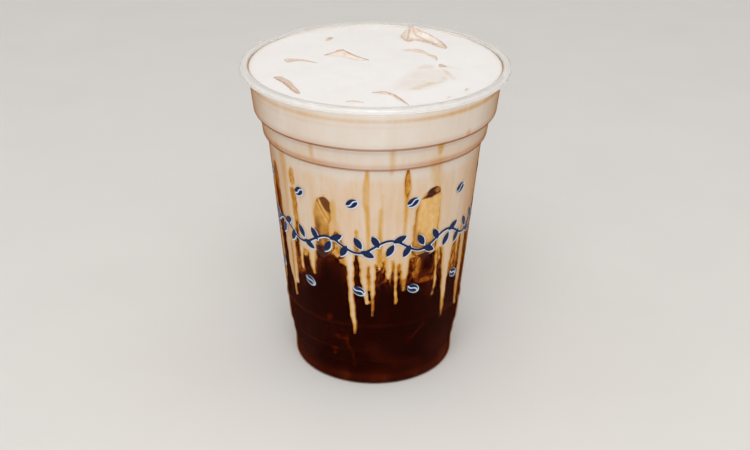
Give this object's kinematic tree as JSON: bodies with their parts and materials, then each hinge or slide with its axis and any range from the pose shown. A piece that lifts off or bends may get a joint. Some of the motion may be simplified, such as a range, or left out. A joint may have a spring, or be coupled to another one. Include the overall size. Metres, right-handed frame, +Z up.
{
  "type": "cold brew with cold foam",
  "caption": "Cold brew coffee under sweet cold foam, full to the curled lip of a clear tapered plastic cup, with ice.",
  "frame": {"origin": "centre of the cup's foot, on the table", "axes": "+Z up along the cup's axis, -Y towards the viewer, +X to the viewer's right"},
  "size_m": [0.099, 0.099, 0.1237],
  "materials": {
    "clear_cup": "clear glossy PET, thin wall",
    "foam": "smooth cream foam, stained by coffee along the wall",
    "coffee": "dark red-brown coffee behind the wall",
    "ice": "wet ice tinted by the coffee and foam",
    "print": "thin navy ink on the outside of the wall"
  },
  "bodies": {
    "root": {"cup": "clear_cup", "cold_foam": "foam", "cold_brew": "coffee", "ice_back_right": "ice", "ice_left_centre": "ice", "ice_left": "ice", "ice_left_front": "ice", "ice_front_right": "ice", "ice_front": "ice", "ice_right": "ice", "ice_wall_left": "ice", "ice_wall_right": "ice"}
  },
  "joints": []
}
